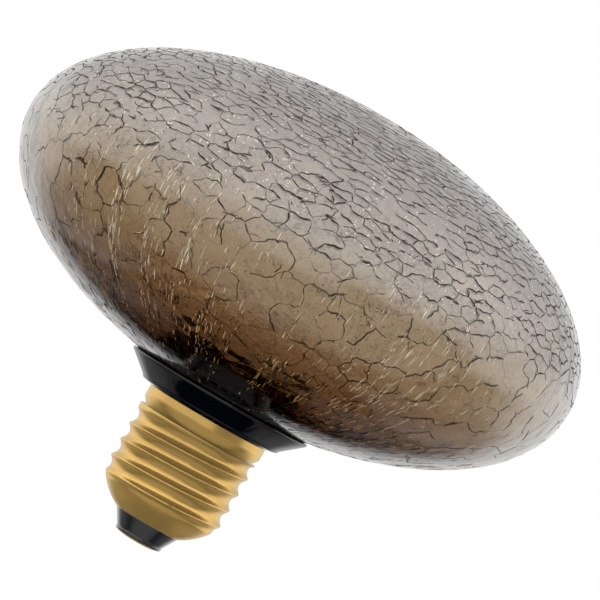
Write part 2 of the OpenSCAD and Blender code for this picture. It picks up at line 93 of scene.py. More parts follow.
# %% Shader kit
class Link:
    """A shader socket that can be used in arithmetic."""

    def __init__(self, finish, socket):
        self.finish, self.socket = finish, socket

    def op(self, operation, *values):
        return self.finish.add("Math", {"operation": operation}, dict(enumerate(values)))

    def __add__(self, other):
        return self.op("ADD", self, other)

    def __sub__(self, other):
        return self.op("SUBTRACT", self, other)

    def __rsub__(self, other):
        return self.op("SUBTRACT", other, self)

    def __mul__(self, other):
        return self.op("MULTIPLY", self, other)

    def __truediv__(self, other):
        return self.op("DIVIDE", self, other)

    def __pow__(self, other):
        return self.op("POWER", self, other)

    def above(self, edge, width):
        """0 below the edge and 1 above it, over this width."""
        settings = {"interpolation_type": "SMOOTHSTEP"}
        sockets = {"Value": self, "From Min": edge - width / 2, "From Max": edge + width / 2}
        return self.finish.add("MapRange", settings, sockets)

    __radd__, __rmul__ = __add__, __mul__


class Finish:
    """One procedural material and the nodes that make it."""

    def __init__(self, name, owner=None):
        self.material = owner or bpy.data.materials.new(name)
        self.material.use_nodes = True
        self.tree = self.material.node_tree
        self.tree.nodes.clear()

    def add(self, kind, settings=None, sockets=None, out=0):
        node = self.tree.nodes.new("ShaderNode" + kind)
        for key, value in (settings or {}).items():
            setattr(node, key, value)
        for key, value in (sockets or {}).items():
            if isinstance(value, Link):
                self.tree.links.new(value.socket, node.inputs[key])
            else:
                node.inputs[key].default_value = value
        return Link(self, node.outputs[out]) if node.outputs else None

    def place(self):
        return self.add("TexCoord", out="Object")

    def noise(self, size, detail=3, stretch=(1, 1, 1), out=0):
        """Noise whose patches are about this many metres across."""
        vector = self.add("Mapping", sockets={"Vector": self.place(), "Scale": stretch})
        sockets = {"Vector": vector, "Scale": 1 / size, "Detail": detail}
        return self.add("TexNoise", sockets=sockets, out=out)

    def split(self, vector, axis):
        return self.add("SeparateXYZ", sockets={"Vector": vector}, out=axis)

    def attribute(self, name):
        return self.add("Attribute", {"attribute_name": name}, out="Fac")

    def blend(self, a, b, factor):
        """A colour between a and b."""
        node = self.tree.nodes.new("ShaderNodeMix")
        node.data_type = "RGBA"
        for index, value in ((0, factor), (6, a), (7, b)):
            if isinstance(value, Link):
                self.tree.links.new(value.socket, node.inputs[index])
            else:
                node.inputs[index].default_value = value
        return Link(self, node.outputs[2])

    def bump(self, height, depth, strength=1.0):
        return self.add("Bump", sockets={"Height": height, "Distance": depth, "Strength": strength})

    def surface(self, **sockets):
        """Ends the material in a Principled shader with these sockets."""
        named = {}
        for key, value in sockets.items():
            named[key.replace("_", " ").title().replace("Ior", "IOR")] = value
        shader = self.add("BsdfPrincipled", sockets=named)
        self.add("OutputMaterial", sockets={"Surface": shader})
        return self.material


def rgb(r, g, b):
    return (r, g, b, 1.0)


print("shader kit ready")

# %% [markdown]
# ## A small kit for modelling
# The frame's solids are all selected after loading, and an operator acts on
# all that is selected. So each new piece starts from a clean selection, and
# faces or edges are then picked by where they lie.


# %% Modelling kit
def start_clean():
    if bpy.context.object and bpy.context.object.mode == "EDIT":
        bpy.ops.object.mode_set(mode="OBJECT")
    bpy.ops.object.select_all(action="DESELECT")


def select_where(obj, kind, test):
    """In edit mode, selects the vertices, edges or faces that pass the test."""
    bpy.ops.mesh.select_mode(type=kind)
    bpy.ops.mesh.select_all(action="DESELECT")
    mesh = bmesh.from_edit_mesh(obj.data)
    parts = {"VERT": mesh.verts, "EDGE": mesh.edges, "FACE": mesh.faces}[kind]
    for part in parts:
        if test(part):
            part.select_set(True)
    mesh.select_flush_mode()
    bmesh.update_edit_mesh(obj.data)


def lathe(name, outline, steps=128):
    """A piece turned about the Z axis from (radius, height) points given in order."""
    start_clean()
    mesh = bpy.data.meshes.new(name)
    obj = bpy.data.objects.new(name, mesh)
    bpy.context.collection.objects.link(obj)
    points = [(r, 0, z) for r, z in outline]
    mesh.from_pydata(points, [(i, i + 1) for i in range(len(points) - 1)], [])
    bpy.context.view_layer.objects.active = obj
    obj.select_set(True)
    bpy.ops.object.mode_set(mode="EDIT")
    bpy.ops.mesh.select_all(action="SELECT")
    bpy.ops.mesh.spin(steps=steps, angle=2 * math.pi, center=(0, 0, 0), axis=(0, 0, 1))
    bpy.ops.mesh.select_all(action="SELECT")
    bpy.ops.mesh.remove_doubles(threshold=1e-6)
    bpy.ops.mesh.normals_make_consistent(inside=False)
    bpy.ops.object.mode_set(mode="OBJECT")
    return obj


def round_corners(outline, radius, steps=4):
    """The outline with each inner corner rounded, the radius limited by its neighbours."""
    result = [outline[0]]
    for before, corner, after in zip(outline, outline[1:], outline[2:]):
        b, c, a = Vector(before), Vector(corner), Vector(after)
        reach = min(radius, (b - c).length * 0.45, (a - c).length * 0.45)
        low, high = c + (b - c).normalized() * reach, c + (a - c).normalized() * reach
        for i in range(steps + 1):
            t = i / steps
            point = low * (1 - t) ** 2 + c * 2 * t * (1 - t) + high * t**2
            result.append((point.x, point.y))
    return result + [outline[-1]]


def dress(obj, material, smooth=math.radians(40)):
    """Gives a piece its material, smooths its soft edges and lets it ride on the lamp."""
    obj.data.materials.clear()
    obj.data.materials.append(material)
    start_clean()
    obj.select_set(True)
    bpy.context.view_layer.objects.active = obj
    bpy.ops.object.shade_smooth_by_angle(angle=smooth)
    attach(obj, "root")
    return obj


print("modelling kit ready")

# %% [markdown]
# ## Smoke-brown glass
# The glass is coloured all through, so its tint belongs to the way light
# passes, not to its surface. A Principled shader with full transmission
# takes its base colour as the light that is left after each face. A tint on
# both faces would leave light that turns back at the inner face too pale, so
# the outer face carries the whole tint, that of two passes, and the inner
# face is clear. The tint follows the height. It grows darker and browner
# towards the neck, partly the glass's own colour, since blown glass is
# thicker and browner there, and partly painted shade where the black boss
# shades the neck. A band above the waist is kept lighter, a painted
# highlight. The neck is drawn into fine flutes, and the inner face, which no
# flame has polished, shows them most.


# %% Glass finishes
GLASS_IOR = 1.5
COAT_IOR = 1.9
FLUTES_AROUND = 16.0
FLUTES_ALONG = 60.0
# Tint steps by height: the glass's own brown, with painted shade towards the neck and a lighter painted
# highlight band from 0.53 to 0.72.
TINT_AND_SHADE_STEPS = [
    (0.00, rgb(0.20, 0.10, 0.04)), (0.10, rgb(0.29, 0.165, 0.075)), (0.16, rgb(0.365, 0.23, 0.125)),
    (0.26, rgb(0.49, 0.37, 0.245)), (0.35, rgb(0.565, 0.46, 0.335)), (0.44, rgb(0.58, 0.485, 0.355)),
    (0.53, rgb(0.61, 0.535, 0.445)), (0.63, rgb(0.585, 0.515, 0.445)), (0.72, rgb(0.60, 0.535, 0.47)),
    (0.81, rgb(0.52, 0.455, 0.395)), (0.95, rgb(0.54, 0.48, 0.425))]


def tint_and_shade(finish):
    """Colour left after two passes of the wall, from the neck at 0 to the crown at 1, with painted shade at
    the neck and a painted highlight band above the waist.
    """
    height = finish.split(finish.place(), "Z")
    share = (height - FOOT_Z) / (GLASS_Z + GLASS_B - FOOT_Z)
    ramp = finish.add("ValToRGB", sockets={"Fac": share + finish.noise(14 * MM, detail=2) * 0.05 - 0.025})
    stops = ramp.socket.node.color_ramp.elements
    while len(stops) < len(TINT_AND_SHADE_STEPS):
        stops.new(0.5)
    for stop, (position, colour) in zip(stops, TINT_AND_SHADE_STEPS):
        stop.position = position
        stop.color = colour
    return finish.add("VectorMath", {"operation": "MULTIPLY"}, {0: ramp, 1: ramp})


def flutes(finish):
    """Fine flutes along the meridians, strong at the neck and gone a third of the way out."""
    place = finish.place()
    x, y, z = (finish.split(place, axis) for axis in "XYZ")
    radius = (x * x + y * y) ** 0.5
    sockets = {"X": x / radius * FLUTES_AROUND, "Y": y / radius * FLUTES_AROUND, "Z": z * FLUTES_ALONG}
    around = finish.add("CombineXYZ", sockets=sockets)
    grain = finish.add("TexNoise", sockets={"Vector": around, "Scale": 1.0, "Detail": 3.0})
    return grain * (1 - radius.above(34 * MM, 24 * MM))


def ripple(finish, flute, wave, dimple):
    """Bump of a blown face: the depth of its flutes, and (size, depth) of its waves and dimples, in mm."""
    sockets = {"Vector": finish.place(), "Scale": 1 / (dimple[0] * MM)}
    dimples = finish.add("TexVoronoi", sockets=sockets) * dimple[1] * MM
    waves = finish.noise(wave[0] * MM) * wave[1] * MM
    return finish.bump(flutes(finish) * flute * MM + waves + dimples, 1.0)


def outer_glass():
    finish = Finish("smoke glass, fire-polished")
    return finish.surface(
        base_color=tint_and_shade(finish), roughness=0.0, ior=GLASS_IOR, transmission_weight=1.0,
        coat_weight=1.0, coat_roughness=0.03, coat_ior=COAT_IOR,
        normal=ripple(finish, 0.05, (5, 0.12), (4, 0.10)))


def inner_glass():
    finish = Finish("smoke glass, healed inner face")
    return finish.surface(
        base_color=rgb(1, 1, 1), roughness=0.0, ior=GLASS_IOR, transmission_weight=1.0,
        normal=ripple(finish, 0.12, (2.5, 0.06), (5, 0.06)))


outer_finish = outer_glass()
inner_finish = inner_glass()
print("tint steps:", len(TINT_AND_SHADE_STEPS))

# %% [markdown]
# ## The glass envelope
# A glassblower starts with a round bubble and flattens it, and so does this
# piece: a sphere is added, squashed along Z and cut at the foot. The inner
# face is a second, smaller bubble cut at the mouth. The ground foot is one
# ring extruded inwards, and a bridge joins it to the inner face.


# %% Glass envelope
SEGMENTS, RINGS = 160, 90


def bubble(name, a, b, cut_z):
    """A spheroid with half axes a and b about the glass's middle, open below cut_z."""
    start_clean()
    bpy.ops.mesh.primitive_uv_sphere_add(segments=SEGMENTS, ring_count=RINGS, radius=1.0, location=(0, 0, 0))
    obj = bpy.context.object
    obj.name = name
    bpy.ops.object.mode_set(mode="EDIT")
    bpy.ops.mesh.select_all(action="SELECT")
    bpy.ops.transform.resize(value=(a, a, b))
    bpy.ops.transform.translate(value=(0, 0, GLASS_Z))
    bpy.ops.mesh.bisect(plane_co=(0, 0, cut_z), plane_no=(0, 0, 1), clear_inner=True)
    bpy.ops.object.mode_set(mode="OBJECT")
    return obj


def height_at(radius, a, b):
    """Height on the lower half of a spheroid where it is this wide."""
    return GLASS_Z - b * math.sqrt(1 - (radius / a) ** 2)


def at_foot(edge):
    return edge.is_boundary and all(abs(vert.co.z - FOOT_Z) < 1e-6 for vert in edge.verts)


mouth_z = height_at(MOUTH_R, GLASS_A - WALL, GLASS_B - WALL)
envelope = bubble("crackle_envelope", GLASS_A, GLASS_B, FOOT_Z)
inner = bubble("inner_face", GLASS_A - WALL, GLASS_B - WALL, mouth_z)
inner.data.flip_normals()
for obj, finish in ((envelope, outer_finish), (inner, inner_finish)):
    obj.data.materials.append(finish)
start_clean()
inner.select_set(True)
envelope.select_set(True)
bpy.context.view_layer.objects.active = envelope
bpy.ops.object.join()
bpy.ops.object.mode_set(mode="EDIT")
select_where(envelope, "EDGE", at_foot)
bpy.ops.mesh.extrude_edges_move()
bpy.ops.transform.resize(value=(MOUTH_R / FOOT_R, MOUTH_R / FOOT_R, 1), center_override=(0, 0, FOOT_Z))
select_where(envelope, "EDGE", lambda e: e.is_boundary)
bpy.ops.mesh.bridge_edge_loops()
bpy.ops.object.mode_set(mode="OBJECT")
bpy.ops.object.shade_smooth_by_angle(angle=math.radians(40))
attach(envelope, "root")
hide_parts("glass_envelope")
print("envelope:", len(envelope.data.polygons), "faces")

# %% [markdown]
# ## Where the cracks run
# Crackle glass is chilled in water while hot. The skin shatters into cells,
# and a last breath opens the cracks a little. The cells are like the cells
# round scattered seeds, so seeds are scattered over the spheroid and their
# cell borders become the cracks. The borders come from the convex hull of
# the seeds on a unit sphere: two hull triangles that share an edge are two
# corners of the cell pattern joined by one border. The sphere is reached by
# a mapping that keeps small shapes, so cells aren't stretched at the rim. On
# the upper half the real cells are wider than high, so the mapping counts a
# way up or down there as longer than it is.


# %% Mapping between the spheroid and a unit sphere
TABLE_STEPS = 4000
FLATTEN = 0.8


def ease(t):
    """Smooth step from 0 to 1."""
    t = np.clip(t, 0, 1)
    return t * t * (3 - 2 * t)


def along_meridian(polar):
    """Way along a meridian of the glass for each radian of its polar angle."""
    return np.sqrt((GLASS_A * np.cos(polar)) ** 2 + (GLASS_B * np.sin(polar)) ** 2)


polar = np.linspace(1e-4, math.pi - 1e-4, TABLE_STEPS)
flatness = 1 + FLATTEN * ease((np.cos(polar) + 0.1) / 0.45)
ratio = along_meridian(polar) / (GLASS_A * np.sin(polar)) * flatness
way = np.concatenate([[0], np.cumsum((ratio[1:] + ratio[:-1]) / 2 * np.diff(polar))])
way -= np.interp(math.pi / 2, polar, way)
sphere_angle = 2 * np.arctan(np.exp(way))


def to_sphere(t, turn):
    """Unit-sphere points for the spheroid's polar angle t and turn."""
    s = np.interp(t, polar, sphere_angle)
    return np.stack([np.sin(s) * np.cos(turn), np.sin(s) * np.sin(turn), np.cos(s)], axis=-1)


def from_sphere(points):
    """Polar angle and turn on the spheroid for unit-sphere points."""
    points = points / np.linalg.norm(points, axis=-1, keepdims=True)
    s = np.arccos(np.clip(points[..., 2], -1, 1))
    return np.interp(s, sphere_angle, polar), np.arctan2(points[..., 1], points[..., 0])


def on_glass(t, turn):
    """Point on the spheroid's outer face, and the outward normal there."""
    radius = GLASS_A * np.sin(t)
    spot = np.stack([radius * np.cos(turn), radius * np.sin(turn), GLASS_B * np.cos(t)], axis=-1)
    normal = spot / np.array([GLASS_A**2, GLASS_A**2, GLASS_B**2])
    normal /= np.linalg.norm(normal, axis=-1, keepdims=True)
    return spot + np.array([0, 0, GLASS_Z]), normal


print("mapping table of", TABLE_STEPS, "steps")

# %% [markdown]
# ## Scattered seeds
# Real cells differ in size: small on the crown and large towards the neck.
# Seeds could sit on a jittered grid, but a grid shows through. So random
# spots are tried one by one, and a spot is kept only if no seed stands
# nearer than its own distance. That distance grows downwards and also drifts
# over the glass.

# %% Scatter the seeds
SEED_GAP = (1.55 * MM, 6.2 * MM)
SEED_TRIES = 56000
DRIFT_SIZE, DRIFT_COUNT = 26 * MM, 9
drift_waves = []
for _ in range(DRIFT_COUNT):
    wave = rng.normal(size=3) * 2 * math.pi / DRIFT_SIZE
    drift_waves.append((wave, rng.uniform(0, 2 * math.pi)))


def drift(spots, shift=0):
    """A value from 0 to 1 that changes slowly over the glass."""
    total = sum(np.sin((spots + shift * MM) @ k + p) for k, p in drift_waves)
    return 1 / (1 + np.exp(-total * 0.75))


def scatter():
    """Seeds spread over the glass, each keeping its own distance from the others."""
    z = rng.uniform(-1, 1, SEED_TRIES)
    t, turn = np.arccos(z), rng.uniform(-math.pi, math.pi, SEED_TRIES)
    keep = rng.uniform(0, 1, SEED_TRIES) < along_meridian(t) / GLASS_A
    t, turn = t[keep], turn[keep]
    spots, _ = on_glass(t, turn)
    lower = ease((GLASS_Z + 12 * MM - spots[:, 2]) / (24 * MM))
    share = 0.16 * drift(spots) + 0.24 * rng.uniform(0, 1, len(t)) + 0.60 * lower
    gaps = SEED_GAP[0] + (SEED_GAP[1] - SEED_GAP[0]) * share
    unit = to_sphere(t, turn)
    gaps *= np.sqrt(np.interp(t, polar, flatness)) * np.sqrt(1 - unit[:, 2] ** 2) / (GLASS_A * np.sin(t))
    kept = []
    for i in range(len(t)):
        if not kept or np.min(np.sum((unit[kept] - unit[i]) ** 2, axis=1)) > gaps[i] ** 2:
            kept.append(i)
    return t[kept], turn[kept]


seed_t, seed_turn = scatter()
print("seeds:", len(seed_t))

# %% [markdown]
# ## Cell borders
# The borders are the edges of the convex hull seen the other way round. The
# operator of bmesh that wraps points in a hull does the whole work: each of
# its triangles gives a corner of the pattern, in the direction of its
# normal, and each of its edges gives a border between two corners.


# %% Borders of the cells
def hull_cells(points):
    """Corners and borders of the cell pattern of these unit-sphere points."""
    mesh = bmesh.new()
    for point in points:
        mesh.verts.new(point)
    bmesh.ops.convex_hull(mesh, input=mesh.verts)
    mesh.faces.index_update()
    corners = []
    for face in mesh.faces:
        outward = face.normal.dot(face.calc_center_median()) > 0
        corners.append(face.normal if outward else -face.normal)
    corners = np.array(corners)
    borders = [tuple(face.index for face in e.link_faces) for e in mesh.edges if len(e.link_faces) == 2]
    mesh.free()
    return corners, borders


corners, borders = hull_cells(to_sphere(seed_t, seed_turn))
print("corners:", len(corners), "borders:", len(borders))

# %% [markdown]
# ## Paths of the cracks
# A real crack wanders, so each border is broken into short steps and pushed
# sideways by a smooth random walk. Some borders are dropped and some stop
# half way. Every one has its own strength, from a hair line that stays under
# the skin to a fissure that opens at the outer face and shows dark. On the
# upper half the level cracks are the strong ones.

# %% Paths of the cracks
STEP = 1.05 * MM
SHORTEST = 0.5 * MM
DROPPED, HALF_WAY = 0.10, 0.12
STEEP_DROPPED = 0.12


def wander(count, size):
    """A smooth random walk of this many points that starts and ends at 0."""
    s = np.linspace(0, 1, count)
    parts = sum(rng.normal() / k**0.7 * np.sin(math.pi * k * s) for k in range(1, 8))
    return parts * size


def crack_path(start, end, sway=0.062):
    """Points on the glass of a crack between two unit-sphere points, wandering sideways."""
    ends, _ = on_glass(*from_sphere(np.array([start, end])))
    length = np.linalg.norm(ends[1] - ends[0])
    count = max(3, int(length / STEP) + 2)
    s = np.linspace(0, 1, count)[:, None]
    side = np.cross(start, end)
    side /= np.linalg.norm(side) + 1e-9
    sideways = side * wander(count, np.linalg.norm(end - start) * sway)[:, None]
    return from_sphere(start * (1 - s) + end * s + sideways), length


def clip_foot(path):
    """The path without what reaches the ground foot, or None when little is left."""
    t, turn = path
    keep = on_glass(t, turn)[0][:, 2] > FOOT_Z + 0.4 * MM
    return (t[keep], turn[keep]) if keep.sum() >= 3 else None


cracks, total = [], 0.0
for a, b in borders:
    chance = rng.uniform()
    if chance < DROPPED:
        continue
    path, length = crack_path(corners[a], corners[b])
    if length < SHORTEST:
        continue
    if chance < DROPPED + HALF_WAY and length > 2 * MM:
        count = max(3, int(len(path[0]) * rng.uniform(0.45, 0.8)))
        path = (path[0][:count], path[1][:count])
    path = clip_foot(path)
    if path is None:
        continue
    spot = on_glass(*path)[0].mean(axis=0)
    upper = ease((spot[2] - GLASS_Z + 6 * MM) / (20 * MM))
    level = float(np.clip(1 - abs(path[0][-1] - path[0][0]) * GLASS_A / length, 0, 1))
    if rng.uniform() < STEEP_DROPPED * upper * (1 - level):
        continue
    strength = 0.30 * drift(spot, 40) + upper * (0.08 + 0.58 * level)
    strength += (0.70 + 0.15 * upper) * (rng.beta(1.2, 1.9) - 0.18)
    cracks.append((path, float(np.clip(strength, 0.06, 1))))
    total += length
print("borders kept:", len(cracks), "total length", round(total, 2), "m")

# %% [markdown]
# ## Side branches
# Between the borders there are short cracks that start on a border, run
# into a cell and stop. They are thin, and they make the pattern look broken
# rather than tiled.

# %% Side branches
BRANCHES = 3900
branches = []
for _ in range(BRANCHES):
    (t, turn), strength = cracks[rng.integers(len(cracks))]
    points = to_sphere(t, turn)
    at = rng.integers(1, len(t))
    heading = (points[at] - points[at - 1]) * rng.choice([-1, 1])
    heading = heading / np.linalg.norm(heading) + rng.normal(size=3) * rng.choice([0.35, 1.2])
    start = points[at] + rng.normal(size=3) * 0.25 * MM / GLASS_A
    end = start + heading / np.linalg.norm(heading) * rng.uniform(0.7, 3.0) * MM / GLASS_A
    path, length = crack_path(start / np.linalg.norm(start), end / np.linalg.norm(end), sway=0.08)
    path = clip_foot(path)
    if path is not None and length > SHORTEST:
        branches.append((path, float(np.clip(strength * rng.uniform(0.4, 1.3), 0.05, 1))))
print("side branches:", len(branches))

# %% [markdown]
# ## Glints and dark strokes, both painted
# The glints are painted highlights: slivers of bright colour where facets of
# the cracks would catch the light. On the lower half they stand in patches
# and line up with the meridians, as the flutes of the neck do, and are
# painted gold; higher up there are only small painted sparkles. Just above
# the collar the same flutes break up the black boss behind them, so most of
# the slivers there are dark strokes, a painted shade that stands in for the
# broken-up boss. A shader could paint all this on the glass, but a sliver
# that stands in the glass shifts against the cracks as a real glint does,
# so they are slivers of their own.


# %% Glints
GLINT_TRIES = 11000
PATCHES = [(-2.15, 0.34), (-0.95, 0.25), (0.5, 0.3), (1.7, 0.4)]
COLUMNS = rng.uniform(-math.pi, math.pi, 230)
BOSS_BAND, NECK_BAND, WAIST = 0.77, 0.55, -0.25


def glint_chance(height, turn):
    """How likely a sliver is: common at the neck, in patches about the waist, fewer above."""
    low = (GLASS_Z - height) / GLASS_B
    if low > BOSS_BAND:
        return 0.62
    if low > NECK_BAND:
        return 0.85
    if low > WAIST:
        patch = 0.0
        for middle, width in PATCHES:
            off = (turn - middle + math.pi) % (2 * math.pi) - math.pi
            patch = max(patch, math.exp(-(off / width) ** 2))
        return 0.07 + 0.93 * patch * (low + 0.45)
    return 0.40


def glint_paths():
    """Painted highlights as bright slivers and painted shade as dark strokes, in columns along the
    meridians, and small painted sparkles above.
    """
    bright, dark = [], []
    for _ in range(GLINT_TRIES):
        height = FOOT_Z + rng.uniform() ** 1.15 * (GLASS_Z + GLASS_B - FOOT_Z)
        turn = COLUMNS[rng.integers(len(COLUMNS))] + rng.normal(0, 0.006)
        if rng.uniform() > glint_chance(height, turn):
            continue
        t = math.acos(float(np.clip((height - GLASS_Z) / GLASS_B, -0.999, 0.999)))
        streak = height < GLASS_Z + 6 * MM
        length = (rng.uniform(0.5, 2.0) ** 1.6 if streak else rng.uniform(0.25, 0.8)) * MM
        tilt = rng.normal(0, 0.06) if streak else rng.uniform(-1.5, 1.5)
        s = np.linspace(-0.5, 0.5, 4) * length
        path = clip_foot((t + s * math.cos(tilt) / along_meridian(t),
                          turn + s * math.sin(tilt) / (GLASS_A * math.sin(t))))
        if path is None:
            continue
        low = (GLASS_Z - height) / GLASS_B
        # Painted shade: most slivers at the boss are dark strokes that stand in for the black boss seen
        # through the flutes.
        boss_shade_share = 0.86 if low > BOSS_BAND else 0.35 if low > NECK_BAND else 0.0
        if rng.uniform() < boss_shade_share:
            dark.append((path, float(rng.uniform(0.6, 1.0))))
        else:
            bright.append((path, float(rng.uniform(0.3, 1.0))))
    return bright, dark


def light_edges(chance):
    """Painted highlights: bright slivers that run beside a part of some strong cracks."""
    made = []
    for (t, turn), strength in cracks:
        if strength < 0.4 or len(t) < 4 or rng.uniform() > chance:
            continue
        first = rng.integers(0, len(t) - 3)
        part = slice(first, first + rng.integers(3, 5))
        shift = rng.choice([-1, 1]) * rng.uniform(0.16, 0.26) * MM / GLASS_A
        made.append(((t[part] + shift, turn[part] + shift), float(rng.uniform(0.1, 0.6))))
    return made


glints, painted_boss_strokes = glint_paths()
# Painted highlights: bright slivers beside parts of strong cracks.
glints += light_edges(0.30)
print("glints:", len(glints), "dark strokes:", len(painted_boss_strokes))

# %% [markdown]
# ## The cracks as solids
# Each path is swept with a thin four-cornered section that stands on edge in
# the glass and leans a little. A strong crack reaches the outer face, where
# it cuts through the reflection; a weak one stays under the skin. A curve
# with a bevel would make the same strips, but thousands of curves are slow,
# so the vertices are worked out here and handed over all at once. Each one
# keeps the crack's strength, its share of glint and whether it lies at the
# crack's foot, for the shader.


# %% Sweep the sections
OPEN_FROM = 0.24
PROUD = 0.012


def sweep(paths, glint, verts, faces, marks):
    """Adds thin closed strips along the paths to these vertices, faces and vertex marks."""
    for (t, turn), strength in paths:
        spot, normal = on_glass(t, turn)
        n = len(t)
        along = np.gradient(spot, axis=0)
        along /= np.linalg.norm(along, axis=1, keepdims=True) + 1e-12
        side = np.cross(along, normal)
        side /= np.linalg.norm(side, axis=1, keepdims=True) + 1e-12
        s = np.linspace(0, 1, n)
        rough = 1 + 0.55 * np.interp(s, np.linspace(0, 1, 5), rng.uniform(-1, 1, 5))
        taper = np.minimum(1, 0.35 + 3 * np.minimum(s, 1 - s))
        if glint:
            half, top, foot = (0.022 + 0.052 * strength) * rough * taper, -0.01, 0.1
        else:
            half = (0.030 + 0.175 * strength**1.4) * rough * taper
            top = -PROUD if strength > OPEN_FROM else 0.2 + 0.5 * (OPEN_FROM - strength)
            foot = top + 0.22 + 0.55 * strength
        lean = rng.normal(0, 0.26) * (foot - top) * side
        high = spot - normal * (top * MM)
        low = spot - normal * (foot * MM) + lean * MM
        wide = side * (half * MM)[:, None]
        base = len(verts)
        ring = [high + wide * 0.8, low + wide, low - wide, high - wide * 0.8]
        verts.extend(np.stack(ring, axis=1).reshape(-1, 3))
        marks["strength"].extend(np.repeat(strength * rough, 4))
        marks["glint"].extend([glint] * 4 * n)
        marks["depth"].extend([0.0, 1.0, 1.0, 0.0] * n)
        for i in range(n - 1):
            for k in range(4):
                p, q = base + 4 * i + k, base + 4 * i + (k + 1) % 4
                faces.append((p, q, q + 4, p + 4))
        last = base + 4 * (n - 1)
        faces += [(base + 3, base + 2, base + 1, base), (last, last + 1, last + 2, last + 3)]


def crack_mesh(name, *groups):
    """One piece from several groups of (paths, glint)."""
    verts, faces, marks = [], [], {"strength": [], "glint": [], "depth": []}
    for paths, glint in groups:
        sweep(paths, glint, verts, faces, marks)
    mesh = bpy.data.meshes.new(name)
    mesh.from_pydata(np.array(verts), [], faces)
    for key, values in marks.items():
        layer = mesh.attributes.new(key, "FLOAT", "POINT")
        layer.data.foreach_set("value", np.asarray(values, dtype=np.float32))
    obj = bpy.data.objects.new(name, mesh)
    bpy.context.collection.objects.link(obj)
    print(name + ":", len(faces) * 2, "triangles")
    return obj


def is_upper(crack):
    return np.cos(crack[0][0]).mean() > 0.15


crack_pieces = [
    crack_mesh("crackle_crown", ([c for c in cracks if is_upper(c)], 0.0)),
    crack_mesh("crackle_belly", ([c for c in cracks if not is_upper(c)], 0.0)),
    crack_mesh("crackle_slivers", (branches, 0.0)),
    # The glints piece holds the painted highlights and the dark strokes, a painted shade for the boss.
    crack_mesh("crackle_glints", (painted_boss_strokes, 0.0), (glints, 1.0)),
]

# %% [markdown]
# ## What a crack looks like
# A fissure in smoke glass shows as a thin dark brown line, browner lower
# down and darker on the crown. At the boss it is painted all but black, a
# painted shade for the black boss behind it. Its alpha follows its strength
# and is broken up by a fine grain, so a line fades and comes back as a real
# one does, and it thins towards the crack's foot. The glints are the same
# stuff, but bright: painted highlights, pale gold high up and deep gold at
# the neck. One material with blends by height and attribute serves all four
# pieces, so they can't drift apart in colour.


# %% Crack finish
def crack_finish():
    finish = Finish("crack in smoke glass")
    strength, glint = finish.attribute("strength"), finish.attribute("glint")
    height = finish.split(finish.place(), "Z")
    grain = finish.noise(1.6 * MM, detail=3).above(0.42, 0.3)
    alpha = 0.34 + strength.above(OPEN_FROM, 0.36) * (0.44 + grain * 0.22)
    alpha = alpha * (1 - finish.attribute("depth") * 0.6)
    crown = height.above(GLASS_Z - 8 * MM, 20 * MM)
    # Painted shade: cracks turn all but black near the foot, where the black boss shows behind them.
    boss_shade_mask = 1 - height.above(FOOT_Z + 8 * MM, 6 * MM)
    dark = finish.blend(rgb(0.060, 0.026, 0.009), rgb(0.036, 0.016, 0.006), crown)
    dark = finish.blend(dark, rgb(0.006, 0.003, 0.0015), boss_shade_mask)
    # Painted highlights: glint colour, pale gold high up and deep gold at the neck.
    pale = height.above(GLASS_Z - 17 * MM, 16 * MM)
    gold = finish.blend(rgb(0.62, 0.34, 0.11), rgb(0.95, 0.84, 0.66), pale)
    painted_sparkle = finish.blend(finish.blend(dark, gold, 0.55), gold, strength.above(0.4, 0.6))
    return finish.surface(
        base_color=finish.blend(dark, painted_sparkle, glint), metallic=glint * 0.3, roughness=0.5,
        alpha=alpha + (0.92 - alpha) * glint, specular_ior_level=0.1)


crack_look = crack_finish()
for obj in crack_pieces:
    dress(obj, crack_look, smooth=math.radians(20))

# %% [markdown]
# ## Brass screw cap
# The cap is rolled from thin sheet brass. Its thread is a helix of rounded
# crests with wide hollows between them. The Screw modifier would sweep such
# a helix, but not one that fades out at both ends. So the sheet is turned as
# a plain tube with closely spaced rings, each vertex is moved out to the
# thread, and Solidify gives the sheet its thickness.

# %% Cap measures
CREST_R, ROOT_R, SKIRT_R = 13.15 * MM, 12.2 * MM, shell_high.x
PITCH = 3.629 * MM
SHEET = 0.3 * MM
SKIRT_Z = shell_high.z - 3.8 * MM
FOOT_ANGLE, END_ANGLE = math.radians(27), math.radians(55)
SHELL_FOOT_R = 7.1 * MM
CURVE_R = (ROOT_R - SHELL_FOOT_R) / (math.sin(END_ANGLE) - math.sin(FOOT_ANGLE))
CURVE_X = SHELL_FOOT_R - CURVE_R * math.sin(FOOT_ANGLE)
CURVE_Z = shell_low.z + CURVE_R * math.cos(FOOT_ANGLE)
THREAD_Z = CURVE_Z - CURVE_R * math.cos(END_ANGLE)
CREST_Z = SKIRT_Z - 6.8 * MM
print("thread from", round(THREAD_Z / MM, 2), "to", round(SKIRT_Z / MM, 2), "mm")


# %% Cap shell
def crest(turn, z):
    """1 on the crest of the thread and 0 in the hollow, with wide round hollows."""
    phase = (z - CREST_Z) / PITCH - turn
    s = 2 * np.abs(phase - np.round(phase))
    soft = 0.08
    s = (np.sqrt(s * s + soft * soft) - soft) / (math.sqrt(1 + soft * soft) - soft)
    return (1 - s) ** 2 * ease((z - THREAD_Z) / (1.4 * MM))


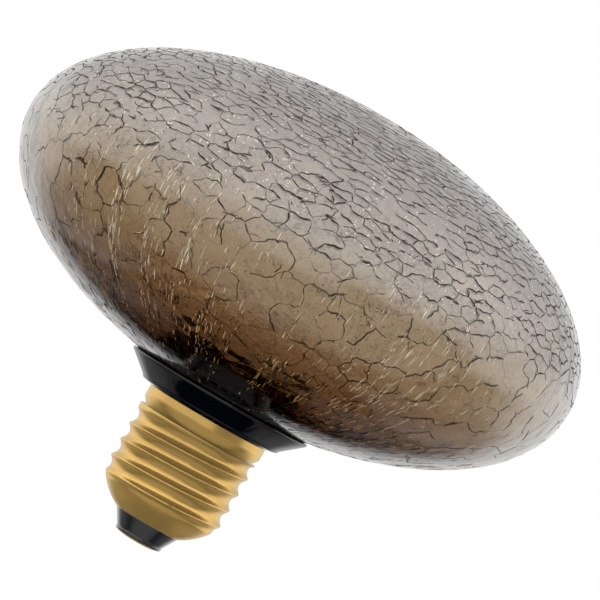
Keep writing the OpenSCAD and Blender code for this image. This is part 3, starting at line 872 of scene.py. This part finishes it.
def thread_radius(turn, z):
    """Radius of the rolled sheet: thread, skirt, and the web where the last crest meets the skirt."""
    last = CREST_Z + PITCH * (1 + turn % 1)
    web = ease((z - last + 0.2 * MM) / (0.3 * MM)) * ease((last - SKIRT_Z + 2 * MM) / (0.6 * MM))
    skirt = ease((z - SKIRT_Z + 1 * MM) / (1 * MM))
    rise = np.maximum(np.maximum(skirt, web) * (SKIRT_R - ROOT_R), crest(turn, z) * (CREST_R - ROOT_R))
    return ROOT_R + rise


foot = [(CURVE_X + CURVE_R * math.sin(t), CURVE_Z - CURVE_R * math.cos(t))
        for t in np.linspace(FOOT_ANGLE, END_ANGLE, 14)]
body = [(ROOT_R, z) for z in np.linspace(THREAD_Z, SKIRT_Z, 110)[1:]]
skirt = [(SKIRT_R, z) for z in np.linspace(SKIRT_Z, shell_high.z, 4)[1:]]
shell = lathe("brass_shell", foot + body + skirt, steps=144)
for vertex in shell.data.vertices:
    x, y, z = vertex.co
    if THREAD_Z < z < SKIRT_Z:
        turn = math.atan2(y, x) / (2 * math.pi)
        r = float(thread_radius(turn, z))
        vertex.co = (r * math.cos(2 * math.pi * turn), r * math.sin(2 * math.pi * turn), z)
wall = shell.modifiers.new("sheet", "SOLIDIFY")
wall.thickness = SHEET
wall.offset = -1
bpy.context.view_layer.objects.active = shell
bpy.ops.object.modifier_apply(modifier="sheet")
print("cap shell:", len(shell.data.polygons), "faces")

# %% [markdown]
# ## Brass finish
# Rolling leaves the brass satin, with fine streaks round the cap and a tone
# that shifts a little under its lacquer. Metallic at three quarters keeps
# some of the lacquer's own colour in the shadows. The colour, the roughness
# and the bump follow the same streaks, as on real metal. The cap is left out
# of reflections, so that the collar and the glass mirror the studio alone.


# %% Brass finish
def brass():
    finish = Finish("rolled brass")
    streaks = finish.noise(1.4 * MM, detail=4, stretch=(1, 1, 10))
    tone = finish.noise(5 * MM, detail=3).above(0.5, 0.5)
    colour = finish.blend(rgb(0.88, 0.565, 0.165), rgb(0.74, 0.47, 0.14), tone * 0.6 + streaks * 0.3)
    return finish.surface(
        base_color=colour, metallic=0.75, roughness=0.20 + streaks * 0.08,
        normal=finish.bump(streaks, 0.015 * MM, 0.15))


cap_brass = brass()
dress(shell, cap_brass, smooth=math.radians(60))
shell.visible_glossy = False
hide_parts("cap_shell")

# %% [markdown]
# ## Black glass insulator
# Molten black glass is pressed into the foot of the shell. It is turned from
# half of its outline, as on a lathe. The corners are rounded, since the
# light shows every edge of gloss black, and the part inside the shell
# follows the shell's own curve just under the sheet.

# %% Insulator
RIVET_HOLE_R = 1.25 * MM
INSULATOR_FOOT = 0.5 * MM
glass_foot = [(1.25, 0.5), (4.95, 0.5), (5.15, 0.7), (5.15, 1.3), (5.3, 1.55), (7.0, 4.35)]
edge = round_corners([(r * MM, z * MM) for r, z in glass_foot], 0.15 * MM)
under = CURVE_R - SHEET - 0.05 * MM
inside = [(CURVE_X + under * math.sin(t), CURVE_Z - under * math.cos(t))
          for t in np.linspace(FOOT_ANGLE, END_ANGLE - math.radians(6), 8)]
top_z = inside[-1][1]
top = [(2.75 * MM, top_z), (RIVET_HOLE_R, top_z - 0.6 * MM), (RIVET_HOLE_R, INSULATOR_FOOT)]
insulator = lathe("insulator", edge + inside + top)


def black_glass():
    finish = Finish("black pressed glass")
    pits = finish.noise(0.8 * MM, detail=3)
    return finish.surface(
        base_color=rgb(0.012, 0.013, 0.015), roughness=0.10 + pits * 0.15, specular_ior_level=1.0,
        coat_weight=1.0, coat_roughness=0.08, coat_ior=1.7,
        normal=finish.bump(finish.noise(2.2 * MM, stretch=(1, 1, 0.4)), 0.05 * MM, 0.6))


dress(insulator, black_glass())
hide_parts("cap_insulator")
print("insulator:", len(insulator.data.polygons), "faces")

# %% [markdown]
# ## Centre contact
# The contact is a flat brass dome that is riveted through the hole in the
# black glass. It is turned from one closed outline, dome and rivet together,
# and shares the brass of the cap.

# %% Contact
dome = [(0, 0.0), (2.5, 0.0), (3.3, 0.06), (4.0, 0.2), (4.6, 0.37), (4.85, 0.46), (4.93, 0.5),
        (1.2, 0.5), (1.2, 8.9), (0.7, 8.9), (0.7, 0.5), (0, 0.5)]
contact = lathe("contact", [(r * MM, z * MM) for r, z in dome])
dress(contact, cap_brass)
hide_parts("centre_contact")
print("contact:", len(contact.data.polygons), "faces")

# %% [markdown]
# ## Two blacks
# The collar is polished black plastic. A polished black surface has almost
# no colour of its own: what shows is the room in it, so a very low roughness
# and a faint flow mark in the normal do the work. The boss that stands in
# the glass and the sealant round it are dull black, so that nothing of the
# room shows in them and they stay dark behind the tinted glass. These two
# keep the frame's own shape and are only given their finish.


# %% Black finishes
def black_moulding():
    finish = Finish("polished black moulding")
    flow = finish.noise(14 * MM, detail=2)
    specks = finish.noise(0.7 * MM, detail=2)
    return finish.surface(
        base_color=rgb(0.0012, 0.0015, 0.003), roughness=0.04 + specks * 0.03, specular_ior_level=0.9,
        normal=finish.bump(flow, 0.05 * MM, 0.2))


def dull_black():
    finish = Finish("dull black")
    grain = finish.noise(1.0 * MM)
    return finish.surface(
        base_color=rgb(0.002, 0.002, 0.002), roughness=0.6 + grain * 0.1, specular_ior_level=0.08)


def assign(node, material):
    """Gives a piece of the frame its finish."""
    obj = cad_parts[node]
    obj.data.materials.clear()
    obj.data.materials.append(material)
    for polygon in obj.data.polygons:
        polygon.material_index = 0


inner_black = dull_black()
for node in ("led_bezel", "envelope_sealant"):
    assign(node, inner_black)
    print(node, "is", inner_black.name)

# %% [markdown]
# ## Softened edges of the collar
# A moulded edge is never dead sharp: it has a small radius that draws a thin
# line of light. The collar keeps the shape of its solid, so a copy of that
# mesh is joined up, freed of needless edges, and only the round edges that
# show are bevelled.


# %% Collar
RINGS_THAT_SHOW = [(20.0, 33.4), (20.0, 33.9), (19.35, 33.9), (15.8, 29.85)]
EDGE_RADIUS = 0.14 * MM


def moulded_copy(node, name, rings, radius):
    """A copy of a solid whose round edges at these (radius, height) places in mm are rounded off."""
    start_clean()
    obj = bpy.data.objects.new(name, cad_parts[node].data.copy())
    bpy.context.collection.objects.link(obj)
    bpy.context.view_layer.objects.active = obj
    obj.select_set(True)
    bpy.ops.object.mode_set(mode="EDIT")
    bpy.ops.mesh.select_all(action="SELECT")
    bpy.ops.mesh.remove_doubles(threshold=1e-6)
    bpy.ops.mesh.dissolve_limited(angle_limit=math.radians(0.5))

    def on_ring(edge):
        """Whether an edge is level and lies on one of the rings."""
        if abs(edge.verts[0].co.z - edge.verts[1].co.z) > 1e-6:
            return False
        places = [(math.hypot(vert.co.x, vert.co.y) / MM, vert.co.z / MM) for vert in edge.verts]
        return all(any(abs(r - ring_r) < 0.06 and abs(z - ring_z) < 0.03 for ring_r, ring_z in rings)
                   for r, z in places)

    select_where(obj, "EDGE", on_ring)
    count = sum(edge.select for edge in bmesh.from_edit_mesh(obj.data).edges)
    bpy.ops.mesh.bevel(offset=radius, segments=3, affect="EDGES")
    bpy.ops.mesh.normals_make_consistent(inside=False)
    bpy.ops.object.mode_set(mode="OBJECT")
    print(name, "rounded edges:", count)
    return obj


collar = moulded_copy("collar_housing", "collar", RINGS_THAT_SHOW, EDGE_RADIUS)
dress(collar, black_moulding(), smooth=math.radians(35))
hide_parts("collar_housing")

# %% [markdown]
# ## Finishes of the inner pieces
# The pieces inside are hardly seen, but each has its own stuff: turned
# aluminium, printed board, amber phosphor, ferrite, copper. Each could have
# a graph of its own, but they differ only in colour, gloss and size of
# grain. So one function makes a plain finish with a fine grain, and a table
# gives the name, colour, roughness, metallic and grain in mm of each piece.


# %% Inner finishes
def plain(name, colour, roughness, metallic, grain):
    """A finish with a fine grain in its colour, roughness and surface."""
    finish = Finish(name)
    speck = finish.noise(grain * MM)
    darker = rgb(*[c * 0.8 for c in colour])
    return finish.surface(
        base_color=finish.blend(rgb(*colour), darker, speck), roughness=roughness + speck * 0.1,
        metallic=metallic, normal=finish.bump(speck, 0.02 * MM, 0.3))


INNER = {
    "heat_sink": ("turned aluminium", (0.72, 0.73, 0.75), 0.3, 1.0, 0.6),
    "led_board": ("white board", (0.80, 0.80, 0.77), 0.4, 0.0, 0.8),
    "leds": ("diode package", (0.85, 0.83, 0.78), 0.45, 0.0, 0.5),
    "led_phosphor": ("amber phosphor", (0.90, 0.42, 0.04), 0.35, 0.0, 0.4),
    "board_screws": ("plated steel", (0.62, 0.62, 0.64), 0.3, 1.0, 0.5),
    "driver_board": ("green board", (0.02, 0.12, 0.05), 0.35, 0.0, 0.8),
    "electrolytic_capacitor": ("shrink sleeve", (0.01, 0.012, 0.03), 0.3, 0.0, 1.0),
    "film_capacitor": ("dipped resin", (0.5, 0.14, 0.02), 0.3, 0.0, 1.2),
    "inductor_core": ("sintered ferrite", (0.03, 0.03, 0.032), 0.6, 0.0, 0.6),
    "inductor_winding": ("enamelled copper", (0.65, 0.25, 0.08), 0.3, 1.0, 0.3),
    "bridge_rectifier": ("moulded epoxy", (0.012, 0.012, 0.012), 0.5, 0.0, 0.5),
    "driver_chip": ("moulded epoxy, chip", (0.012, 0.012, 0.012), 0.5, 0.0, 0.5),
    "fusible_resistor": ("resistor lacquer", (0.04, 0.16, 0.08), 0.45, 0.0, 0.6),
    "live_wire": ("bare copper", (0.75, 0.36, 0.18), 0.3, 1.0, 0.5),
    "neutral_wire": ("bare copper, neutral", (0.75, 0.36, 0.18), 0.3, 1.0, 0.5),
    "led_wire_positive": ("red insulation", (0.40, 0.01, 0.008), 0.35, 0.0, 0.8),
    "led_wire_negative": ("black insulation", (0.01, 0.01, 0.01), 0.35, 0.0, 0.8),
}
for node, (name, colour, roughness, metallic, grain) in INNER.items():
    assign(node, plain(name, colour, roughness, metallic, grain))
print("inner pieces dressed:", len(INNER))

# %% [markdown]
# ## Clear lens
# The lens over the diodes is clear moulded plastic, a little warm, so it is
# the one inner piece that needs transmission. A broad, faint bump stands for
# the flow of the moulding.


# %% Lens finish
def clear_lens():
    finish = Finish("clear moulded lens")
    return finish.surface(
        base_color=rgb(0.95, 0.9, 0.8), roughness=0.05, ior=1.49, transmission_weight=1.0,
        normal=finish.bump(finish.noise(3 * MM), 0.02 * MM, 0.3))


lens_finish = clear_lens()
assign("led_lens", lens_finish)
print("led_lens is", lens_finish.name)

# %% [markdown]
# ## Studio
# The lamp hangs in a white studio over a pale floor. What the camera sees
# directly or through the glass is plain white. Matt surfaces get a lower,
# plain level of light. Glass and metal mirror a shaded studio, because a
# mirror in an all-white room has no shape: bright overhead, greyer walls,
# one dark card at the front right, and below the horizon a table that is
# light only at the back and at the sides. An image of a studio would do the
# same, but soft steps between directions need no file and stay easy to turn
# up and down. In each `above`, the first number says where the step lies,
# from -1 to 1 along that direction, and the second how soft it is.


# %% World
PLAIN_LIGHT = 0.6
SKY = 1.55
HORIZON = 0.46


def white_world():
    """A world that is white to look at and a shaded studio in reflections."""
    world = bpy.data.worlds.new("white studio")
    bpy.context.scene.world = world
    studio = Finish("white studio", world)
    way = studio.add("TexCoord", out="Generated")

    def toward(x, y, z):
        """How far a ray points this way, from -1 to 1."""
        settings = {"operation": "DOT_PRODUCT"}
        return studio.add("VectorMath", settings, {0: way, 1: (x, y, z)}, out="Value")

    high, back, across = toward(0, 0, 1), toward(0, 1, 0), toward(1, 0, 0)
    aside = across.op("ABSOLUTE", across)
    level = 1 - high.op("ABSOLUTE", high).above(0.22, 0.24)
    dark_card = toward(0.755, -0.656, 0).above(0.86, 0.09) * level * 0.85
    walls = (HORIZON + back.above(0.0, 1.2) * 0.36 + level * 0.20) * (1 - dark_card)
    overhead = SKY - back.above(0.5, 0.7) * 0.75
    room = walls + (overhead - walls) * high.above(0.4, 0.7)
    room = room * (1 - back.above(0.84, 0.28) * 0.22)
    table = high.above(-0.42, 0.26) * back.above(0.3, 0.6) * 0.62
    table = table + (1 - back.above(-0.2, 0.3)) * 0.22
    table = table + aside.above(0.36, 0.05) * back.above(0.1, 0.4) * 0.13
    table = table + aside.above(0.18, 0.16) * back.above(0.5, 0.3) * 0.10
    mirrored = table + (room - table) * high.above(-0.15, 0.26)
    strength = PLAIN_LIGHT + studio.add("LightPath", out="Is Glossy Ray") * (mirrored - PLAIN_LIGHT)
    for kind in ("Is Transmission Ray", "Is Camera Ray"):
        strength = strength + studio.add("LightPath", out=kind) * (1 - strength)
    backdrop = studio.add("Background", sockets={"Color": rgb(1, 1, 1), "Strength": strength})
    studio.add("OutputWorld", sockets={"Surface": backdrop})
    return world


world = white_world()
print("world:", len(world.node_tree.nodes), "nodes")

# %% [markdown]
# ## Floor
# The floor is a plain pale disc well below the lamp and far wider than the
# view. It takes the lamp's soft shadow. It is hidden from reflections, which
# already hold the table of the world.

# %% Floor
FLOOR_Z = -0.12
FLOOR_R = 1.1


def pale_floor():
    finish = Finish("pale floor")
    return finish.surface(base_color=rgb(0.82, 0.82, 0.81), roughness=0.6 + finish.noise(0.2) * 0.1)


start_clean()
bpy.ops.mesh.primitive_circle_add(vertices=96, radius=FLOOR_R, fill_type="NGON", location=(0, 0, FLOOR_Z))
floor = bpy.context.object
floor.name = "floor"
floor.visible_glossy = False
floor.data.materials.append(pale_floor())
print("floor at", FLOOR_Z, "m")

# %% [markdown]
# ## Lamps
# Three large soft lamps light the matt parts: one overhead and one at each
# side. Small lamps would throw hard shadows, so these are large, and like
# the floor they are left out of reflections: the world alone is mirrored.


# %% Lamps
MIDDLE = Vector((0, 0, 0.05))


def softbox(name, spot, size, power):
    """A rectangular area lamp that faces the middle of the object."""
    data = bpy.data.lights.new(name, "AREA")
    data.shape = "RECTANGLE"
    data.size = size[0]
    data.size_y = size[1]
    data.energy = power
    obj = bpy.data.objects.new(name, data)
    obj.location = spot
    obj.rotation_euler = (MIDDLE - Vector(spot)).to_track_quat("-Z", "Y").to_euler()
    bpy.context.collection.objects.link(obj)
    obj.visible_camera = obj.visible_glossy = obj.visible_transmission = False
    print(name, "lamp:", power, "W")


softbox("overhead", (-0.25, -0.05, 0.62), (0.6, 0.5), 4.0)
softbox("left", (-0.6, -0.45, 0.1), (0.4, 0.7), 2.2)
softbox("right", (0.65, -0.3, 0.05), (0.25, 0.6), 1.6)

# %% [markdown]
# ## Camera
# A long lens looks at the lamp from the side, a hair above its waist, and
# is rolled so that the lamp leans over to the right. Turning the lamp itself
# would do the same for the view, but then no piece would sit in its frame.
# Glass needs many bounces, since a ray may cross both walls and the cracks
# in them twice.

# %% Camera
DISTANCE, LIFT, ROLL = 1.5, math.radians(1.0), math.radians(30.1)
VIEW_WIDTH = 0.120
VIEW_DROP, VIEW_SHIFT, AXIS_SHIFT = 8.46 * MM, 0.34 * MM, 0.4 * MM
right = Vector((math.cos(ROLL), 0, math.sin(ROLL)))
upward = Vector((-math.sin(ROLL), 0, math.cos(ROLL)))
target = Vector((0, 0, GLASS_Z)) - upward * VIEW_DROP + right * VIEW_SHIFT - Vector((AXIS_SHIFT, 0, 0))
z_axis = Vector((0, -math.cos(LIFT), math.sin(LIFT)))
x_axis = upward.cross(z_axis).normalized()
y_axis = z_axis.cross(x_axis)
camera_data = bpy.data.cameras.new("camera")
camera_data.sensor_width = 36
camera_data.lens = camera_data.sensor_width * DISTANCE / VIEW_WIDTH
camera_data.clip_start = 0.05
camera_data.clip_end = 20
camera = bpy.data.objects.new("camera", camera_data)
bpy.context.collection.objects.link(camera)
turned = Matrix((x_axis, y_axis, z_axis)).transposed().to_4x4()
camera.matrix_world = Matrix.Translation(target + z_axis * DISTANCE) @ turned
scene = bpy.context.scene
scene.camera = camera
scene.view_settings.view_transform = "Standard"
scene.cycles.transparent_max_bounces = 48
scene.cycles.max_bounces = 24
scene.cycles.transmission_bounces = 16
print("camera", [round(c, 3) for c in camera.matrix_world.translation])
